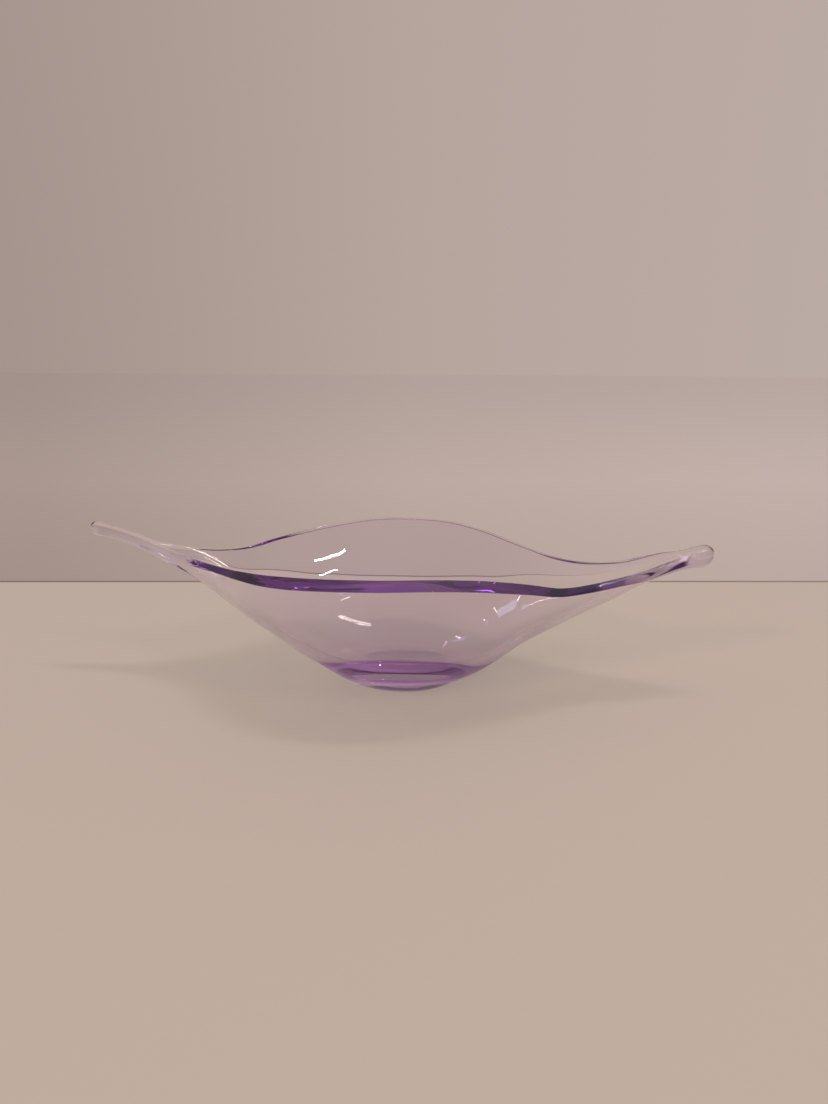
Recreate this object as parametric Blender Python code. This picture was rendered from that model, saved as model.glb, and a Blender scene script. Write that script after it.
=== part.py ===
"""Hand-worked glass boat bowl: a deep oval bowl on a small ground foot, whose ends are pulled out
into two solid handles that finish in fire-polished drops.

The bowl is one curved wall. Across the bowl, at each station along X, the middle of the wall is a
power curve from the keel up to the rim on both sides, and glass of the wall's thickness lies on
either side of it. Towards the ends the curve shrinks to nothing, so the thick wall around it closes
into a round rod. The regions that a glassmaker works one by one are separate solids here, with a
narrow gap between them: the wall, the foot pad under it, a lip on each long side, two handles and
two tip drops.

Frame: +X to the right-hand tip, +Z up, origin on the table under the middle of the bounding box.
"""

import bmesh
import bpy
import numpy as np

MM = 0.001

# Driving dimensions, in millimetres.
LENGTH = 400.0
FOOT_X = 6.0
RIM_THICKNESS = 10.2
KEEL_THICKNESS = 10.6
END_THICKNESS = 6.4
RIM_CORNER = 0.8
ROD_THICKNESS = 7.8
LEFT_DROP_RADIUS = 4.3
RIGHT_DROP_RADIUS = 6.0
LIP_SHARE = 0.1
PAD_DEPTH = 11.1
PAD_REACH = 62.0
PAD_RADIUS = 51.0
GAP = 0.35
PAD_GAP = 0.6
LIP_GAP = 0.6

# How far from the foot the wall starts to thin, and where it has thinned.
WALL_THINS = 50.0
WALL_THINNED = 115.0

# Where the channel between the rims has closed and the handle starts.
LEFT_HANDLE_X = -150.0
RIGHT_HANDLE_X = 174.0
CHANNEL_CLOSES = 30.0

# The power of the curve across the bowl: a flat floor with upright sides in the middle, and a
# plain parabola at the ends.
MIDDLE_POWER = 2.35
END_POWER = 2.0
POWER_SPREAD = 70.0

# Stations of the wall's middle surface: x, half width at the rim, rim height, keel height.
STATIONS = np.array((
    (-200.0, 0.6, 98.6, 98.6),
    (-186.0, 0.8, 95.6, 95.6),
    (-170.0, 1.4, 90.2, 89.9),
    (-158.0, 2.6, 85.3, 84.5),
    (-146.0, 6.0, 82.4, 78.1),
    (-132.0, 12.2, 80.6, 70.6),
    (-118.0, 19.3, 79.2, 61.2),
    (-104.0, 27.9, 78.8, 50.7),
    (-88.0, 44.4, 80.9, 41.5),
    (-72.0, 58.8, 82.9, 33.8),
    (-50.0, 73.0, 85.6, 21.6),
    (-28.0, 81.9, 87.8, 13.1),
    (6.0, 84.0, 88.9, 10.8),
    (36.0, 77.2, 88.1, 11.9),
    (60.0, 65.2, 84.7, 18.1),
    (84.0, 50.1, 79.3, 34.3),
    (106.0, 37.9, 74.6, 46.1),
    (124.0, 27.6, 74.6, 55.7),
    (142.0, 20.7, 77.1, 65.4),
    (158.0, 15.9, 80.4, 75.7),
    (172.0, 10.0, 84.4, 83.6),
    (184.0, 5.8, 87.4, 87.4),
    (192.0, 2.4, 89.4, 89.4),
    (200.0, 0.8, 91.2, 91.2),
))
PLACES, HALF_WIDTH, RIM_HEIGHT, KEEL_HEIGHT = STATIONS.T
LEFT_TIP_X = PLACES[0]
RIGHT_TIP_X = PLACES[-1]
LEFT_DROP_X = LEFT_TIP_X + 2.4 * LEFT_DROP_RADIUS
RIGHT_DROP_X = RIGHT_TIP_X - 2.4 * RIGHT_DROP_RADIUS

# How finely the solids are divided.
WALL_STATIONS = 58
HANDLE_STATIONS = 9
DROP_STATIONS = 7
WALL_SPANS = 24
LIP_SPANS = 2
ROD_SPANS = 6
CORNER_SPANS = 4
PAD_SIDES = 40
PAD_RINGS = 6
CURVE_SAMPLES = 160


def eased(start, end, x):
    """0 at start and 1 at end, with a smooth start and finish."""
    t = np.clip((x - start) / (end - start), 0, 1)
    return t * t * (3 - 2 * t)


def along_bowl(x, values):
    """Station values at x, by cubics through the stations with averaged slopes."""
    slopes = np.gradient(values, PLACES)
    left = np.clip(np.searchsorted(PLACES, x) - 1, 0, len(PLACES) - 2)
    span = PLACES[left + 1] - PLACES[left]
    t = (x - PLACES[left]) / span
    near = (1 + 2 * t) * (1 - t) ** 2 * values[left] + t * (1 - t) ** 2 * span * slopes[left]
    far = t * t * (3 - 2 * t) * values[left + 1] - t * t * (1 - t) * span * slopes[left + 1]
    return near + far


def closing(x):
    """1 along the bowl, falling to 0 at both tips as a ball's radius does."""
    left = np.clip((x - LEFT_TIP_X) / LEFT_DROP_RADIUS, 0, 1)
    right = np.clip((RIGHT_TIP_X - x) / RIGHT_DROP_RADIUS, 0, 1)
    return np.sqrt(left * (2 - left) * right * (2 - right))


def roundness(x):
    """0 where the rims are cut edges, rising to 1 where they have become round rods."""
    rod = eased(LEFT_HANDLE_X + CHANNEL_CLOSES, LEFT_HANDLE_X, x)
    return rod + eased(RIGHT_HANDLE_X - CHANNEL_CLOSES, RIGHT_HANDLE_X, x)


def wall_thickness(x, fractions):
    """Rim to keel thickness in the bowl, the rod's in the handles and the ball's in the drops."""
    left = eased(LEFT_DROP_X + LEFT_DROP_RADIUS, LEFT_TIP_X + LEFT_DROP_RADIUS, x)
    right = eased(RIGHT_DROP_X - RIGHT_DROP_RADIUS, RIGHT_TIP_X - RIGHT_DROP_RADIUS, x)
    wall = KEEL_THICKNESS + (RIM_THICKNESS - KEEL_THICKNESS) * fractions ** 2
    wall = END_THICKNESS + (wall - END_THICKNESS) * eased(WALL_THINNED, WALL_THINS, abs(x - FOOT_X))
    thickness = wall + (ROD_THICKNESS - wall) * roundness(x)
    thickness = thickness + (2 * LEFT_DROP_RADIUS - ROD_THICKNESS) * left
    return (thickness + (2 * RIGHT_DROP_RADIUS - ROD_THICKNESS) * right) * closing(x)


def curve_across(x):
    """The middle of the wall at station x from keel to back rim: its y, z, slope and length.

    The curve is z = keel + (rim - keel) * (y / half width) ** power.
    """
    width = along_bowl(x, HALF_WIDTH) * closing(x)
    keel = along_bowl(x, KEEL_HEIGHT)
    rise = along_bowl(x, RIM_HEIGHT) - keel
    power = END_POWER + (MIDDLE_POWER - END_POWER) * np.exp(-((x - FOOT_X) / POWER_SPREAD) ** 2)
    out = np.linspace(0, 1, CURVE_SAMPLES)
    y, z = width * out, keel + rise * out ** power
    length = np.concatenate(([0.0], np.cumsum(np.hypot(np.diff(y), np.diff(z)))))
    return y, z, rise * power * out ** (power - 1) / width, length


def wall_points(x, fractions):
    """Outer and inner face points (y, z) of the wall at station x, and its outward normals.

    A fraction is a share of the curve's length from the keel (0) to the back rim (1) or the
    front rim (-1). Both faces lie half the wall's thickness from the middle.
    """
    y, z, slope, length = curve_across(x)
    shares = length / length[-1]
    side = np.where(fractions < 0, -1.0, 1.0)
    middle = np.stack((side * np.interp(abs(fractions), shares, y),
                       np.interp(abs(fractions), shares, z)), axis=1)
    slope = side * np.interp(abs(fractions), shares, slope)
    normal = np.stack((slope, -np.ones_like(slope)), axis=1) / np.hypot(slope, 1)[:, None]
    half = wall_thickness(x, fractions)[:, None] / 2 * normal
    return middle + half, middle - half, normal


def rim_edge(x, outer, inner, normal, side):
    """Points of the edge round a rim, from the outer face over the top to the inner.

    It is a flat edge between two rounded corners; in the rods the corners meet in a half circle.
    """
    turn = np.pi / 2 * np.arange(1, CORNER_SPANS + 1)[:, None] / CORNER_SPANS
    upward = side * np.array((-normal[1], normal[0]))
    half = np.linalg.norm(outer - inner) / 2
    corner = min(RIM_CORNER, half) + (half - min(RIM_CORNER, half)) * roundness(x)
    out = half - corner * (1 - np.cos(turn))
    up = corner * np.sin(turn)
    first = (outer + inner) / 2 + out * normal + up * upward
    last = (outer + inner) / 2 - out * normal + up * upward
    middle = (first[-1:] + last[-1:]) / 2
    return np.concatenate((first[:-1], middle, last[-2::-1]))


def ring(x, start, end, spans):
    """A closed outline across the wall at station x, between two fractions of the curve.

    It runs along the outer face and back along the inner one, and goes round each rim it reaches.
    """
    fractions = np.linspace(start, end, spans + 1)
    outer, inner, normal = wall_points(x, fractions)
    outline = [outer]
    if end == 1:
        outline.append(rim_edge(x, outer[-1], inner[-1], normal[-1], 1))
    outline.append(inner[::-1])
    if start == -1:
        outline.append(rim_edge(x, outer[0], inner[0], normal[0], -1)[::-1])
    outline = np.concatenate(outline)
    return np.column_stack((np.full(len(outline), x), outline))


def loft(rings, first_pole=None, last_pole=None):
    """A mesh through closed rings of equal count, ending in a flat face or in a pole point."""
    mesh = bmesh.new()
    loops = [[mesh.verts.new(MM * point) for point in points] for points in rings]
    for near, far in zip(loops, loops[1:]):
        for i in range(len(near)):
            mesh.faces.new((near[i - 1], near[i], far[i], far[i - 1]))
    for loop, pole in ((loops[0], first_pole), (loops[-1], last_pole)):
        if pole is None:
            mesh.faces.new(loop)
        else:
            tip = mesh.verts.new(MM * np.asarray(pole))
            for i in range(len(loop)):
                mesh.faces.new((loop[i - 1], loop[i], tip))
    bmesh.ops.recalc_face_normals(mesh, faces=mesh.faces)
    return mesh


def add_part(name, mesh, colour, roughness):
    """An object with the mesh and a glass material of its own, in the bowl's collection."""
    data = bpy.data.meshes.new(name)
    mesh.to_mesh(data)
    mesh.free()
    data.shade_smooth()
    data.set_sharp_from_angle(angle=np.radians(50))
    material = bpy.data.materials.new(name + "_glass")
    material.use_nodes = True
    shader = material.node_tree.nodes["Principled BSDF"]
    shader.inputs["Base Color"].default_value = (*colour, 1)
    shader.inputs["Roughness"].default_value = roughness
    shader.inputs["Metallic"].default_value = 0
    shader.inputs["IOR"].default_value = 1.5
    shader.inputs["Transmission Weight"].default_value = 0.9
    data.materials.append(material)
    part = bpy.data.objects.new(name, data)
    collection.objects.link(part)
    return part


def bowl_stations():
    """Stations of the wall and the lips between the two handles, closer together at the ends."""
    share = np.linspace(-1, 1, WALL_STATIONS)
    share = (share + np.sin(np.pi / 2 * share)) / 2
    middle = (LEFT_HANDLE_X + RIGHT_HANDLE_X) / 2
    return middle + share * (RIGHT_HANDLE_X - GAP / 2 - middle)


def wall():
    """The bowl's wall and floor, up to the two lips."""
    rings = []
    for x in bowl_stations():
        end = 1 - LIP_SHARE - LIP_GAP / curve_across(x)[3][-1]
        rings.append(ring(x, -end, end, WALL_SPANS))
    return loft(rings)


def lip(side):
    """The rounded lip along one long side: 1 for the back one, -1 for the front one."""
    start, end = (1 - LIP_SHARE, 1) if side > 0 else (-1, LIP_SHARE - 1)
    return loft([ring(x, start, end, LIP_SPANS) for x in bowl_stations()])


def handle(bowl_x, drop_x):
    """A solid handle from the end of the channel to its tip drop."""
    inset = GAP / 2 * np.sign(drop_x - bowl_x)
    stations = np.linspace(bowl_x + inset, drop_x - inset, HANDLE_STATIONS)
    return loft([ring(x, -1, 1, ROD_SPANS) for x in stations])


def tip_drop(drop_x, tip_x):
    """The ball of glass at a tip, with its stations crowded towards the tip."""
    inset = GAP / 2 * np.sign(tip_x - drop_x)
    turn = np.linspace(0, np.pi / 2, DROP_STATIONS + 1)[:-1]
    stations = drop_x + inset + (tip_x - drop_x - inset) * np.sin(turn)
    pole = (tip_x, 0, along_bowl(tip_x, KEEL_HEIGHT))
    return loft([ring(x, -1, 1, ROD_SPANS) for x in stations], last_pole=pole)


def underside(x, y):
    """Height of the wall's outer face over the point (x, y)."""
    outer = wall_points(x, np.linspace(0, 1, CURVE_SAMPLES))[0]
    return np.interp(abs(y), outer[:, 0], outer[:, 1])


def pad_bottom(x, y):
    """Height of the hull with the foot pad, before its foot is ground flat at height 0.

    The pad's depth falls from the middle as (1 - (distance / reach) ** 2) ** 2.
    """
    distance = np.hypot(x - FOOT_X, y)
    return underside(x, y) - PAD_DEPTH * (1 - (distance / PAD_REACH) ** 2) ** 2


def foot_radius(direction):
    """Distance from the foot's middle to the edge of its flat face, in one direction."""
    radii = np.linspace(0, PAD_RADIUS, CURVE_SAMPLES)
    heights = [pad_bottom(FOOT_X + r * direction[0], r * direction[1]) for r in radii]
    return np.interp(0, heights, radii)


def base_pad():
    """The thick pad under the wall: a flat ground foot, a flank and a hollow top face."""
    turns = 2 * np.pi * np.arange(PAD_SIDES) / PAD_SIDES
    directions = np.column_stack((np.cos(turns), np.sin(turns)))
    edges = np.array([foot_radius(direction) for direction in directions])
    steps = np.arange(1, PAD_RINGS + 1) / PAD_RINGS
    flank_radii = [edges + (PAD_RADIUS - edges) * step for step in steps]
    rings = []
    for radii in (edges / 2, edges):
        spots = radii[:, None] * directions
        rings.append(np.column_stack((FOOT_X + spots[:, 0], spots[:, 1], 0 * radii)))
    for radii in flank_radii:
        spots = radii[:, None] * directions
        heights = [pad_bottom(FOOT_X + x, y) for x, y in spots]
        rings.append(np.column_stack((FOOT_X + spots[:, 0], spots[:, 1], heights)))
    for radius in PAD_RADIUS * steps[::-1]:
        spots = radius * directions
        heights = [underside(FOOT_X + x, y) - PAD_GAP for x, y in spots]
        rings.append(np.column_stack((FOOT_X + spots[:, 0], spots[:, 1], heights)))
    top = (FOOT_X, 0, underside(FOOT_X, 0) - PAD_GAP)
    return loft(rings, first_pole=(FOOT_X, 0, 0), last_pole=top)


for leftover in list(bpy.data.objects):
    bpy.data.objects.remove(leftover)
collection = bpy.data.collections.new("art_glass_bowl")
bpy.context.scene.collection.children.link(collection)

PALE_LILAC = (0.56, 0.43, 0.66)
DEEP_LILAC = (0.30, 0.17, 0.40)

add_part("bowl_wall", wall(), PALE_LILAC, 0.03)
add_part("base_pad", base_pad(), DEEP_LILAC, 0.06)
add_part("front_lip", lip(-1), DEEP_LILAC, 0.02)
add_part("back_lip", lip(1), DEEP_LILAC, 0.02)
add_part("left_handle", handle(LEFT_HANDLE_X, LEFT_DROP_X), PALE_LILAC, 0.03)
add_part("right_handle", handle(RIGHT_HANDLE_X, RIGHT_DROP_X), PALE_LILAC, 0.03)
add_part("left_tip_drop", tip_drop(LEFT_DROP_X, LEFT_TIP_X), DEEP_LILAC, 0.02)
add_part("right_tip_drop", tip_drop(RIGHT_DROP_X, RIGHT_TIP_X), DEEP_LILAC, 0.02)
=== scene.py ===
"""Looks of the lilac glass boat bowl: one continuous body of clear coloured glass.

The body is a single closed surface on a grid of stations along the bowl and steps round each
cross-section, so that no seam lies inside the glass. Its foot is ground flat.
"""

import bmesh
import bpy
import numpy as np
from mathutils import Matrix, Vector


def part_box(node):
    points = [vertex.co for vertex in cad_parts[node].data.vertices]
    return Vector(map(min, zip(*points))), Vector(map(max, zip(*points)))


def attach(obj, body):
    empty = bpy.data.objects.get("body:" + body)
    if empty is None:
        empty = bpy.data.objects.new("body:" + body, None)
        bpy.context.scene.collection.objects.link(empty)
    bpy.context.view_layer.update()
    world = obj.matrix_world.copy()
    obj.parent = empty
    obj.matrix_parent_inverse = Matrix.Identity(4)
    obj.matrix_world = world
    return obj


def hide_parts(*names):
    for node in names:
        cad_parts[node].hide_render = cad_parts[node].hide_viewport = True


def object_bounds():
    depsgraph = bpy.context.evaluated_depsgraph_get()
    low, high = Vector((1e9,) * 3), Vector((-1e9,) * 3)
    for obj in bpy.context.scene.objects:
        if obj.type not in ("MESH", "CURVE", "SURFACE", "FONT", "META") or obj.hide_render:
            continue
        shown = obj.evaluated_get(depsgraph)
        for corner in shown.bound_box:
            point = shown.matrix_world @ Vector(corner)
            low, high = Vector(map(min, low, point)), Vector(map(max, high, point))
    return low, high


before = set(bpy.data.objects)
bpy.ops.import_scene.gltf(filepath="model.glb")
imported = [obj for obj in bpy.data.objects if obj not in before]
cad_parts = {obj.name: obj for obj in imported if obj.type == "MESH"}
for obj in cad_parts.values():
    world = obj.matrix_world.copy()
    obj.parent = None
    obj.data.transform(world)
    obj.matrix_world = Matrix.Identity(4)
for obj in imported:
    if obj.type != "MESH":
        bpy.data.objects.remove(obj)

CAD_BOX = [list(corner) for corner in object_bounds()]
LOW, HIGH = (np.array(corner) for corner in CAD_BOX)
MM = 0.001
HALF_LENGTH = (HIGH[0] - LOW[0]) / 2
HALF_WIDTH = (HIGH[1] - LOW[1]) / 2
HEIGHT = HIGH[2]
PAD_LOW, PAD_HIGH = (np.array(corner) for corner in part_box("base_pad"))
FOOT_X = (PAD_LOW[0] + PAD_HIGH[0]) / 2
PAD_RADIUS = (PAD_HIGH[0] - PAD_LOW[0]) / 2

# Thickness of the wall. It thins between two distances from the foot, and is round in the rods.
RIM_THICKNESS = 10.1 * MM
KEEL_THICKNESS = 10.6 * MM
END_THICKNESS = 6.3 * MM
WALL_THINS = 50 * MM
WALL_THINNED = 115 * MM
ROD_THICKNESS = 7.8 * MM
LEFT_DROP_RADIUS = 4.3 * MM
RIGHT_DROP_RADIUS = 6.0 * MM

# The rim's flat edge: its lift and corners, where it softens, and the points across it.
RIM_LIFT = 0.9 * MM
RIM_CORNER = 0.35 * MM
ROUND_SHARE = 0.9
EDGE_SOFTENS = 84 * MM
EDGE_SOFT = 132 * MM
EDGE_POINTS = np.array((0.96, 0.5, -0.5, -0.96))

# The extra glass under the floor, and the back wall's belly by its shares from keel to rim.
PAD_DEPTH = 11.1 * MM
PAD_REACH = 1.216 * PAD_RADIUS
BACK_BELLY = 1.6 * MM
BELLY_ROUND = 0.3
BELLY_FADES = 0.35
BELLY_GONE = 0.75

# Where the handles and the drops begin, and the length over which the channel closes.
LEFT_HANDLE_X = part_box("left_handle")[1][0]
RIGHT_HANDLE_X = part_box("right_handle")[0][0]
LEFT_DROP_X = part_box("left_tip_drop")[1][0]
RIGHT_DROP_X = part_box("right_tip_drop")[0][0]
CHANNEL_CLOSES = 30 * MM

# The wall's middle surface at stations along the bowl: place as a share of the half length, half
# width of the rim as a share of the half width, rim and keel as shares of the height.
STATIONS = np.array((
    (-1.000, 0.007, 0.965, 0.965),
    (-0.930, 0.009, 0.936, 0.936),
    (-0.850, 0.016, 0.883, 0.880),
    (-0.790, 0.029, 0.835, 0.827),
    (-0.730, 0.067, 0.807, 0.765),
    (-0.660, 0.136, 0.789, 0.691),
    (-0.590, 0.215, 0.775, 0.599),
    (-0.520, 0.311, 0.771, 0.496),
    (-0.440, 0.495, 0.792, 0.406),
    (-0.360, 0.656, 0.812, 0.331),
    (-0.250, 0.814, 0.838, 0.211),
    (-0.140, 0.914, 0.860, 0.128),
    (0.030, 0.937, 0.870, 0.106),
    (0.180, 0.861, 0.862, 0.116),
    (0.300, 0.727, 0.829, 0.177),
    (0.420, 0.559, 0.776, 0.336),
    (0.530, 0.423, 0.730, 0.451),
    (0.620, 0.308, 0.730, 0.545),
    (0.710, 0.231, 0.755, 0.640),
    (0.790, 0.177, 0.787, 0.741),
    (0.860, 0.112, 0.826, 0.818),
    (0.920, 0.065, 0.856, 0.856),
    (0.960, 0.027, 0.875, 0.875),
    (1.000, 0.009, 0.893, 0.893),
)) * (HALF_LENGTH, HALF_WIDTH, HEIGHT, HEIGHT)
PLACES, RIM_OUT, RIM_UP, KEEL_UP = STATIONS.T

# The curve across the bowl: how steeply its power falls from the middle to a plain parabola.
MIDDLE_POWER = 2.35
END_POWER = 2.0
POWER_SPREAD = 70 * MM

# Slow unevenness of the two faces: lengths of the waves, their height, and in radians the first
# wave's direction and the turn and shift of each next one. It calms down near the rim.
OUTER_WAVES = (0.090, 0.061, 0.043)
INNER_WAVES = (0.130, 0.085)
OUTER_RIPPLE = 0.09 * MM
INNER_RIPPLE = 0.05 * MM
FIRST_DIRECTION = 0.7
NEXT_DIRECTION = 1.9
NEXT_SHIFT = 2.3
CALM_POWER = 12

# Beads near the tips: end of the bowl, distance from the tip, height and reach, in millimetres.
BEADS = (
    (1, 7, 1.9, 3.6),
    (1, 15, 1.0, 2.6),
    (-1, 4, 0.8, 3.0),
    (-1, 11, -0.7, 2.2),
)

# Grid of the glass body. The stations crowd towards the tips, and the steps towards the rims.
STATION_COUNT = 300
SHEET_STEPS = 58
CORNER_STEPS = 6
TIP_CROWDING = 0.35
RIM_CROWDING = 0.5


def eased(start, end, x):
    """0 at start and 1 at end, with a smooth start and finish."""
    t = np.clip((x - start) / (end - start), 0, 1)
    return t * t * (3 - 2 * t)


def along_bowl(x, values):
    """Station values at x, by cubics through the stations with averaged slopes."""
    slopes = np.gradient(values, PLACES)
    left = np.clip(np.searchsorted(PLACES, x) - 1, 0, len(PLACES) - 2)
    span = PLACES[left + 1] - PLACES[left]
    t = (x - PLACES[left]) / span
    near = (1 + 2 * t) * (1 - t) ** 2 * values[left] + t * (1 - t) ** 2 * span * slopes[left]
    far = t * t * (3 - 2 * t) * values[left + 1] - t * t * (1 - t) * span * slopes[left + 1]
    return near + far


def closing(x):
    """1 along the bowl, falling to 0 at both tips as a ball's radius does."""
    left = np.clip((x + HALF_LENGTH) / LEFT_DROP_RADIUS, 0, 1)
    right = np.clip((HALF_LENGTH - x) / RIGHT_DROP_RADIUS, 0, 1)
    return np.sqrt(left * (2 - left) * right * (2 - right))


def roundness(x):
    """0 where the rims are cut edges, rising to 1 where they have become round rods."""
    rod = eased(LEFT_HANDLE_X + CHANNEL_CLOSES, LEFT_HANDLE_X, x)
    return rod + eased(RIGHT_HANDLE_X - CHANNEL_CLOSES, RIGHT_HANDLE_X, x)


def wall_thickness(x, share):
    """Thickness of the glass at station x and a share of the way from keel to rim."""
    left = eased(LEFT_DROP_X + LEFT_DROP_RADIUS, LEFT_DROP_RADIUS - HALF_LENGTH, x)
    right = eased(RIGHT_DROP_X - RIGHT_DROP_RADIUS, HALF_LENGTH - RIGHT_DROP_RADIUS, x)
    full = eased(WALL_THINNED, WALL_THINS, abs(x - FOOT_X))
    wall = KEEL_THICKNESS + (RIM_THICKNESS - KEEL_THICKNESS) * share ** 2
    wall = END_THICKNESS + (wall - END_THICKNESS) * full
    thickness = wall + (ROD_THICKNESS - wall) * roundness(x)
    thickness = thickness + (2 * LEFT_DROP_RADIUS - ROD_THICKNESS) * left
    return (thickness + (2 * RIGHT_DROP_RADIUS - ROD_THICKNESS) * right) * closing(x)


def rim_profile(x, half):
    """The edge round a rim, as distances outward and upward from the middle of the wall.

    The faces run on towards the lift, where a quarter ellipse, a flat edge and another quarter
    ellipse follow. Towards the ends the ellipses widen until the edge is a plain arch.
    """
    turn = (np.pi / 2 * np.arange(CORNER_STEPS + 1) / CORNER_STEPS)[None, :]
    widest = ROUND_SHARE * half
    wide, lift = np.minimum(RIM_CORNER, widest), np.minimum(RIM_LIFT, half)
    wide = wide + (widest - wide) * eased(EDGE_SOFTENS, EDGE_SOFT, abs(x - FOOT_X))
    lift = lift + (half - lift) * roundness(x)
    out = half - wide * (1 - np.cos(turn))
    up = lift - np.minimum(wide, ROUND_SHARE * lift) * (1 - np.sin(turn))
    flat = (half - wide) * EDGE_POINTS
    return (np.concatenate((out, flat, -out[:, ::-1]), axis=1),
            np.concatenate((up, lift + 0 * flat, up[:, ::-1]), axis=1))


def ripple(x, y, lengths, amount):
    """Slow unevenness of hand-worked glass: the mean of crossed sine waves of the lengths."""
    total = np.zeros(np.broadcast(x, y).shape)
    for turn, length in enumerate(lengths):
        direction = FIRST_DIRECTION + NEXT_DIRECTION * turn
        phase = (x * np.cos(direction) + y * np.sin(direction)) / length
        total = total + np.sin(2 * np.pi * phase + NEXT_SHIFT * turn)
    return amount * total / len(lengths)


def bump(x, middle, reach):
    """1 at the middle, falling off as a bell: exp(-((x - middle) / reach) ** 2)."""
    return np.exp(-((x - middle) / reach) ** 2)


def sag(x):
    """Glass that ran together under the tips while they were soft: the sum of the beads' bells."""
    beads = 0
    for end, inset, height, reach in BEADS:
        beads = beads + height * bump(x, end * (HALF_LENGTH - inset * MM), reach * MM)
    return MM * closing(x) * beads


def glass_body():
    """Points of the bowl's surface: stations along X by steps round the cross-section.

    At a station the middle of the wall is z = keel + (rim - keel) * (y / half width) ** power. The
    outer face lies half the thickness outside it and the inner face half inside, each with a slow
    ripple of its own, and the rim's edge joins them. The back wall has a belly low down. Under the
    floor the outer face is lowered by the pad's depth * (1 - (distance / reach) ** 2) ** 2, which
    leaves the thick base. A share runs from -1 at the front rim over 0 at the keel to 1 at the back.
    """
    turn = np.linspace(0, np.pi, STATION_COUNT)
    even = np.linspace(-1, 1, STATION_COUNT)
    spread = -TIP_CROWDING * np.cos(turn) + (1 - TIP_CROWDING) * even
    x = HALF_LENGTH * spread[1:-1, None]
    share = np.linspace(-1, 1, 2 * SHEET_STEPS + 1)[None, :]
    side = np.where(share < 0, -1.0, 1.0)
    out = abs(share) * (1 + RIM_CROWDING - RIM_CROWDING * abs(share))
    width = along_bowl(x, RIM_OUT) * closing(x)
    keel = along_bowl(x, KEEL_UP)
    rise = along_bowl(x, RIM_UP) - keel
    power = END_POWER + (MIDDLE_POWER - END_POWER) * np.exp(-((x - FOOT_X) / POWER_SPREAD) ** 2)
    middle = np.stack((side * width * out, keel + rise * out ** power), axis=2)
    slope = side * rise * power * out ** (power - 1) / width
    normal = np.stack((slope, -np.ones_like(slope)), axis=2) / np.hypot(slope, 1)[..., None]
    half = wall_thickness(x, share)[..., None] / 2
    across = middle[..., 0] + side * (middle[..., 1] - keel)
    calm = (1 - abs(share) ** CALM_POWER) * (1 - roundness(x))
    belly = calm * BACK_BELLY * eased(BELLY_GONE, BELLY_FADES, share) * eased(0, BELLY_ROUND, share)
    wave_out = calm * ripple(x, across, OUTER_WAVES, OUTER_RIPPLE) + sag(x) * (1 - share ** 2)
    wave_out = wave_out + belly
    wave_in = calm * ripple(x, -across, INNER_WAVES, INNER_RIPPLE)
    outer = middle + (half + wave_out[..., None]) * normal
    inner = middle - (half + wave_in[..., None]) * normal
    distance = np.hypot(x - FOOT_X, outer[..., 0]) / PAD_REACH
    outer[..., 1] -= PAD_DEPTH * np.clip(1 - distance ** 2, 0, None) ** 2
    edges = []
    for end, way in ((0, -1), (-1, 1)):
        outward = normal[:, end][:, None, :]
        upward = way * np.stack((-outward[..., 1], outward[..., 0]), axis=2)
        out, up = rim_profile(x, half[:, end])
        edges.append(middle[:, end][:, None, :] + out[..., None] * outward + up[..., None] * upward)
    front, back = edges
    section = np.concatenate((outer, back, inner[:, ::-1], front[:, ::-1]), axis=1)
    place = np.broadcast_to(x[..., None], (*section.shape[:2], 1))
    return np.concatenate((place, section), axis=2)


def closed_mesh(name, points, first_pole, last_pole):
    """A mesh over a grid whose rows are closed rings, with a pole point beyond each end row."""
    rows, steps, _ = points.shape
    corner = np.arange(rows * steps).reshape(rows, steps)
    beside = np.roll(corner, -1, axis=1)
    quads = np.stack((corner[:-1], corner[1:], beside[1:], beside[:-1]), axis=2).reshape(-1, 4)
    first, last = rows * steps, rows * steps + 1
    start = np.stack((np.full(steps, first), corner[0], beside[0]), axis=1)
    end = np.stack((np.full(steps, last), beside[-1], corner[-1]), axis=1)
    data = bpy.data.meshes.new(name)
    data.from_pydata(np.concatenate((points.reshape(-1, 3), (first_pole, last_pole))).tolist(),
                     [], quads.tolist() + start.tolist() + end.tolist())
    data.shade_smooth()
    return data


def grind_foot(data):
    """Cuts the body off at the table, as the grinding wheel does, and closes the flat face."""
    shape = bmesh.new()
    shape.from_mesh(data)
    everything = [*shape.verts, *shape.edges, *shape.faces]
    cut = bmesh.ops.bisect_plane(shape, geom=everything, plane_co=(0, 0, 0), plane_no=(0, 0, 1),
                                 clear_inner=True)["geom_cut"]
    rim = [part for part in cut if isinstance(part, bmesh.types.BMEdge)]
    face = bmesh.ops.edgeloop_fill(shape, edges=rim)["faces"]
    for edge in rim:
        edge.smooth = False
    for flat in face:
        flat.material_index = 1
    bmesh.ops.recalc_face_normals(shape, faces=shape.faces)
    shape.to_mesh(data)
    shape.free()


def rgb(code):
    """Linear colour of an sRGB hex value such as "#C0FFEE"."""
    value = np.array([int(code[i:i + 2], 16) for i in (1, 3, 5)]) / 255
    linear = np.where(value <= 0.04045, value / 12.92, ((value + 0.055) / 1.055) ** 2.4)
    return (*linear, 1.0)


# The glass. In each colour it absorbs (1 - tint) * density of the light per metre.
GLASS_IOR = 1.5
GLASS_TINT = "#F8F2FA"
GLASS_DENSITY = 100.0
POLISHED_ROUGHNESS = 0.0
GROUND_ROUGHNESS = 0.15

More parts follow.
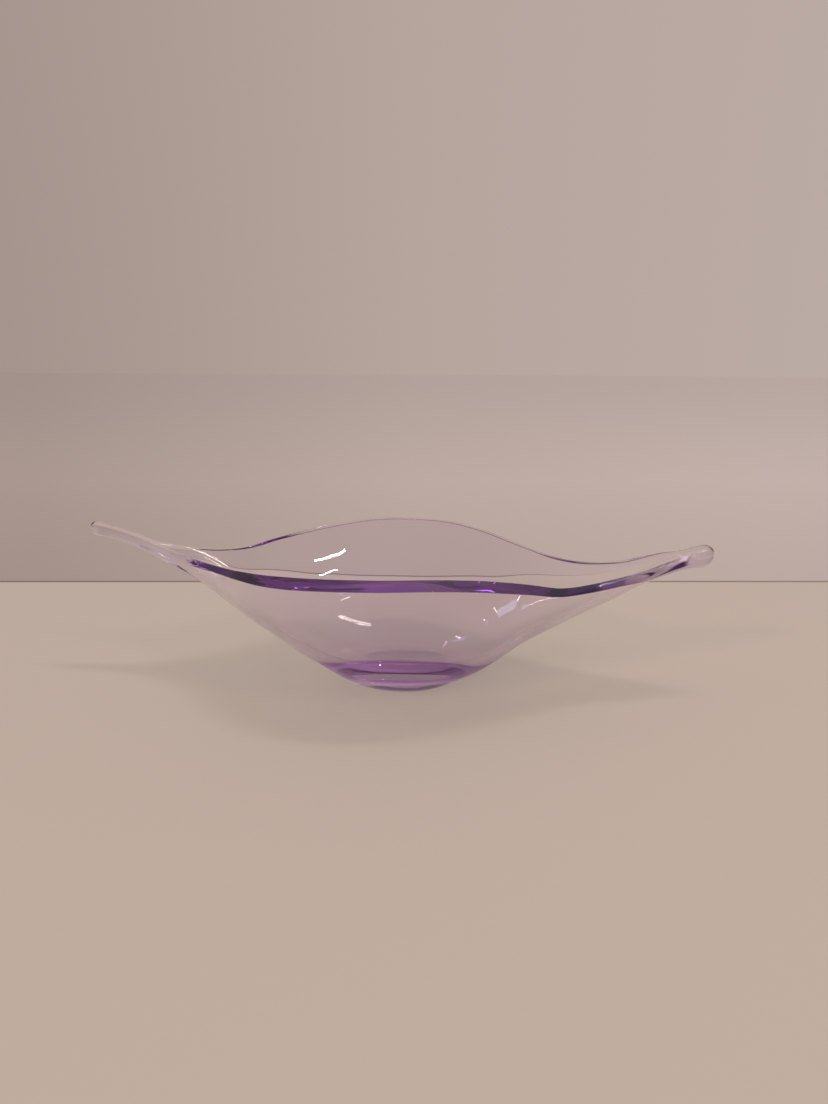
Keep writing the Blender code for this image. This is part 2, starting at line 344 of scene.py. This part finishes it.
# The view: in degrees how far it looks down, its turn, and the level directions on from it.
VIEW_DOWN = 14.88
VIEW_TURN = np.radians(6)
AHEAD = (-np.sin(VIEW_TURN), np.cos(VIEW_TURN), 0)
SIDEWAYS = (np.cos(VIEW_TURN), np.sin(VIEW_TURN), 0)

# The booth's size and paint. The paint glows a little, painted light that stands in for a table lit
# from all round.
FLOOR_HALF = 4.0
FLOOR_DROP = 0.2 * MM
TABLE_END = 0.218
LINE_WIDTH = 0.0012
TABLE_TONE = "#978C82"
LINE_TONE = "#6E625B"
WALL_TONE = "#998E87"
PAINT_ROUGHNESS = 0.7
PAINT_GLOW = 0.72

# Light and shade in the booth, as factors on ramps: painted shade at the wall's foot, from left to
# right as painted light and shade on the rear wall and as light in the air, from the horizon up, and
# from the room in front to the rear wall.
FULL = (1, 1, 1, 1)
FAN_DISTANCE = 0.51
# Painted shade at the foot of the rear wall, gone by the reach behind it.
PAINTED_FOOT_SHADE = (0.87, 0.86, 0.86, 1)
PAINTED_FOOT_SHADE_REACH = 0.75
SIDE_LIGHT = ((0.05, (0.80, 0.78, 0.78, 1)), (0.5, FULL), (0.95, (1.08, 1.08, 1.12, 1)))
TENT_LIGHT = ((0.45, rgb("#B5A59D")), (0.9, rgb("#E6DCD6")))
ROOM_LIGHT = ((0.05, (0.68, 0.63, 0.80, 1)), (0.55, FULL))

# The lamps face the middle of the bowl.
BOWL_MIDDLE = Vector((0, 0, 0.05))
WARM, COOL = "#FFF3E8", "#CBD2FF"


def add_node(tree, kind, settings=(), **links):
    """Adds a node: settings are (input or property, value) pairs, links are input=socket."""
    made = tree.nodes.new(kind)
    for name, value in settings:
        if name in made.inputs:
            made.inputs[name].default_value = value
        else:
            setattr(made, name, value)
    for name, socket in links.items():
        tree.links.new(made.inputs[name.replace("_", " ")], socket)
    return made


def new_material(name):
    """An empty node material and its node tree."""
    material = bpy.data.materials.new(name)
    material.use_nodes = True
    material.node_tree.nodes.clear()
    return material, material.node_tree


def lilac_glass(name, roughness):
    """Soda-lime glass coloured lilac in the melt, fire polished or ground.

    The eye sees clear glass with sharp highlights. It takes most from green light, so that it is
    faintly lilac across the wall and deep purple along it. The ground foot is a little matt.
    """
    material, tree = new_material(name)
    shader = add_node(tree, "ShaderNodeBsdfPrincipled", (
        ("Base Color", rgb("#FFFFFF")), ("Roughness", roughness), ("IOR", GLASS_IOR),
        ("Transmission Weight", 1.0)))
    body = add_node(tree, "ShaderNodeVolumeAbsorption", (
        ("Color", rgb(GLASS_TINT)), ("Density", GLASS_DENSITY)))
    add_node(tree, "ShaderNodeOutputMaterial", (), Surface=shader.outputs[0],
             Volume=body.outputs[0])
    return material


def dot(tree, vector, direction):
    """Socket with the dot product of a vector socket and a constant direction."""
    product = add_node(tree, "ShaderNodeVectorMath", (("operation", "DOT_PRODUCT"),))
    product.inputs[1].default_value = direction
    tree.links.new(product.inputs[0], vector)
    return product.outputs["Value"]


def worked_out(tree, operation, first, second):
    """Socket with the result of an operation on two values, each a socket or a number."""
    node = add_node(tree, "ShaderNodeMath", (("operation", operation),))
    for place, value in enumerate((first, second)):
        if isinstance(value, bpy.types.NodeSocket):
            tree.links.new(node.inputs[place], value)
        else:
            node.inputs[place].default_value = value
    return node.outputs[0]


def ramp(tree, factor, stops, interpolation="LINEAR"):
    """Socket with the colour at the factor on a ramp of (position, colour) stops."""
    node = add_node(tree, "ShaderNodeValToRGB", Fac=factor)
    node.color_ramp.interpolation = interpolation
    node.color_ramp.elements.remove(node.color_ramp.elements[1])
    node.color_ramp.elements[0].position = stops[0][0]
    node.color_ramp.elements[0].color = stops[0][1]
    for position, colour in stops[1:]:
        node.color_ramp.elements.new(position).color = colour
    return node.outputs["Color"]


def times(tree, first, second):
    """Socket with the product of two colours."""
    node = add_node(tree, "ShaderNodeVectorMath", (("operation", "MULTIPLY"),))
    tree.links.new(node.inputs[0], first)
    tree.links.new(node.inputs[1], second)
    return node.outputs["Vector"]


def booth_paint():
    """Matt paint of the booth, evenly pale on the table.

    Behind a thin dark line comes the rear wall. It carries painted shade at its foot and at the left
    and painted light at the right, and these tones fan out from a point in front of the bowl.
    """
    material, tree = new_material("booth_paint")
    where = add_node(tree, "ShaderNodeTexCoord").outputs["Object"]
    behind, across = dot(tree, where, AHEAD), dot(tree, where, SIDEWAYS)
    tone = ramp(tree, behind, ((0, rgb(TABLE_TONE)), (TABLE_END, rgb(LINE_TONE)),
                               (TABLE_END + LINE_WIDTH, rgb(WALL_TONE))), "CONSTANT")
    # Painted shade: the rear wall darker towards its foot.
    low = ramp(tree, behind, ((TABLE_END - LINE_WIDTH, FULL), (TABLE_END, PAINTED_FOOT_SHADE),
                              (PAINTED_FOOT_SHADE_REACH, FULL)))
    # Painted light and shade across the rear wall: darker to the left, lighter to the right, fanning
    # out from a point in front of the bowl.
    slant = worked_out(tree, "DIVIDE", across, worked_out(tree, "ADD", behind, FAN_DISTANCE))
    side = ramp(tree, worked_out(tree, "ADD", slant, 0.5), SIDE_LIGHT)
    table = ramp(tree, behind, ((0, FULL), (TABLE_END, (0, 0, 0, 1))), "CONSTANT")
    shade = add_node(tree, "ShaderNodeMix", (("data_type", "RGBA"),))
    wall_shade, table_shade = (place for place in shade.inputs if place.type == "RGBA")
    tree.links.new(shade.inputs["Factor"], table)
    tree.links.new(wall_shade, side)
    table_shade.default_value = FULL
    shade_colour = next(place for place in shade.outputs if place.type == "RGBA")
    paint = times(tree, times(tree, tone, low), shade_colour)
    # The paint also glows with its own colour: painted light.
    shader = add_node(tree, "ShaderNodeBsdfPrincipled", (
        ("Roughness", PAINT_ROUGHNESS), ("Emission Strength", PAINT_GLOW)),
        Base_Color=paint, Emission_Color=paint)
    add_node(tree, "ShaderNodeOutputMaterial", (), Surface=shader.outputs[0])
    return material


def add_piece(name, data, *materials):
    """A new object that holds the mesh at the origin."""
    piece = bpy.data.objects.new(name, data)
    bpy.context.scene.collection.objects.link(piece)
    for material in materials:
        data.materials.append(material)
    return piece


def add_tube(name, start, end, thickness, power, colour):
    """A straight area light between two points, facing the bowl."""
    light = bpy.data.lights.new(name, "AREA")
    light.shape = "RECTANGLE"
    start, end = Vector(start), Vector(end)
    light.size, light.size_y = (end - start).length, thickness
    light.energy = power
    light.color = rgb(colour)[:3]
    along = (end - start).normalized()
    centre = (start + end) / 2
    away = centre - BOWL_MIDDLE
    away = (away - away.dot(along) * along).normalized()
    lamp = bpy.data.objects.new(name, light)
    lamp.matrix_world = Matrix((along, away.cross(along), away)).transposed().to_4x4()
    lamp.location = centre
    bpy.context.scene.collection.objects.link(lamp)
    return lamp


# The camera looks down on the bowl a little from its right.
camera = bpy.data.objects.new("camera", bpy.data.cameras.new("camera"))
camera.location = (0.068, -0.509, 0.223)
camera.rotation_euler = (np.radians(90 - VIEW_DOWN), 0, VIEW_TURN)
camera.data.sensor_width = 36
camera.data.lens = 27.03
bpy.context.scene.collection.objects.link(camera)
bpy.context.scene.camera = camera
bpy.context.scene.view_settings.view_transform = "Standard"

# The glass.
points = glass_body()
tips = [(place, 0, along_bowl(place, KEEL_UP)) for place in (-HALF_LENGTH, HALF_LENGTH)]
body_mesh = closed_mesh("glass_bowl", points, *tips)
grind_foot(body_mesh)
bowl = add_piece("glass_bowl", body_mesh,
                 lilac_glass("fire_polished_lilac_glass", POLISHED_ROUGHNESS),
                 lilac_glass("ground_lilac_glass", GROUND_ROUGHNESS))
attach(bowl, "root")
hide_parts("bowl_wall", "base_pad", "front_lip", "back_lip", "left_handle",
            "right_handle", "left_tip_drop", "right_tip_drop")

# The booth: one floor, far larger than the bowl, with the table's end marked on it.
floor_mesh = bpy.data.meshes.new("booth_floor")
floor_mesh.from_pydata([(FLOOR_HALF * right, FLOOR_HALF * back, -FLOOR_DROP)
                        for right, back in ((-1, -1), (1, -1), (1, 1), (-1, 1))],
                       [], [(0, 1, 2, 3)])
floor = add_piece("booth_floor", floor_mesh, booth_paint())

# The air of the booth: the rear wall's tone behind, a paler tent overhead, and a dim room in
# front, which the near faces of the glass mirror.
world = bpy.data.worlds.new("booth")
world.use_nodes = True
sky = world.node_tree
way = add_node(sky, "ShaderNodeTexCoord").outputs["Generated"]
tent = ramp(sky, dot(sky, way, (0, 0, 1)), TENT_LIGHT)
side = ramp(sky, worked_out(sky, "ADD", dot(sky, way, SIDEWAYS), 0.5), SIDE_LIGHT)
room = ramp(sky, worked_out(sky, "ADD", dot(sky, way, AHEAD), 0.5), ROOM_LIGHT)
sky.links.new(sky.nodes["Background"].inputs["Color"],
              times(sky, times(sky, tent, side), room))
bpy.context.scene.world = world

# Lamps that the glass mirrors: name, both ends, thickness, watts and colour.
for lamp in (
        ("right_tube", (1.22, -0.86, 1.60), (1.02, -1.26, 1.60), 0.020, 1.2, WARM),
        ("right_upper_tube", (1.32, -0.79, 1.90), (1.22, -1.10, 1.90), 0.018, 0.7, WARM),
        ("ceiling_right_tube", (0.10, 0.02, 2.0), (0.90, 0.02, 2.0), 0.020, 5.0, WARM),
        ("ceiling_right_tube_2", (0.10, 0.12, 2.0), (0.90, 0.12, 2.0), 0.020, 3.5, WARM),
        ("window_frame", (-1.66, -0.40, 1.53), (-1.72, -0.10, 1.53), 0.02, 0.7, WARM),
        ("window", (-1.70, -0.20, 1.45), (-1.72, 0.16, 1.45), 0.12, 0.7, COOL)):
    add_tube(*lamp)

# Softer lamps out of the glass's sight, which throw the shadows to the right and to the left.
for lamp in (
        ("left_key", (-1.20, -1.60, 1.36), (-0.92, -1.76, 1.36), 0.14, 9.0, WARM),
        ("right_key", (1.50, -0.95, 1.60), (1.25, -1.30, 1.60), 0.14, 4.0, WARM)):
    soft = add_tube(*lamp)
    soft.visible_glossy = False
    soft.visible_transmission = False

# Light runs along inside the walls, so its paths need many turns. A high clamp keeps the lamps
# bright where they are mirrored through the glass.
LIGHT_TURNS = 48
bpy.context.scene.cycles.sample_clamp_indirect = 40
bpy.context.scene.cycles.max_bounces = LIGHT_TURNS
bpy.context.scene.cycles.glossy_bounces = LIGHT_TURNS
bpy.context.scene.cycles.transmission_bounces = LIGHT_TURNS
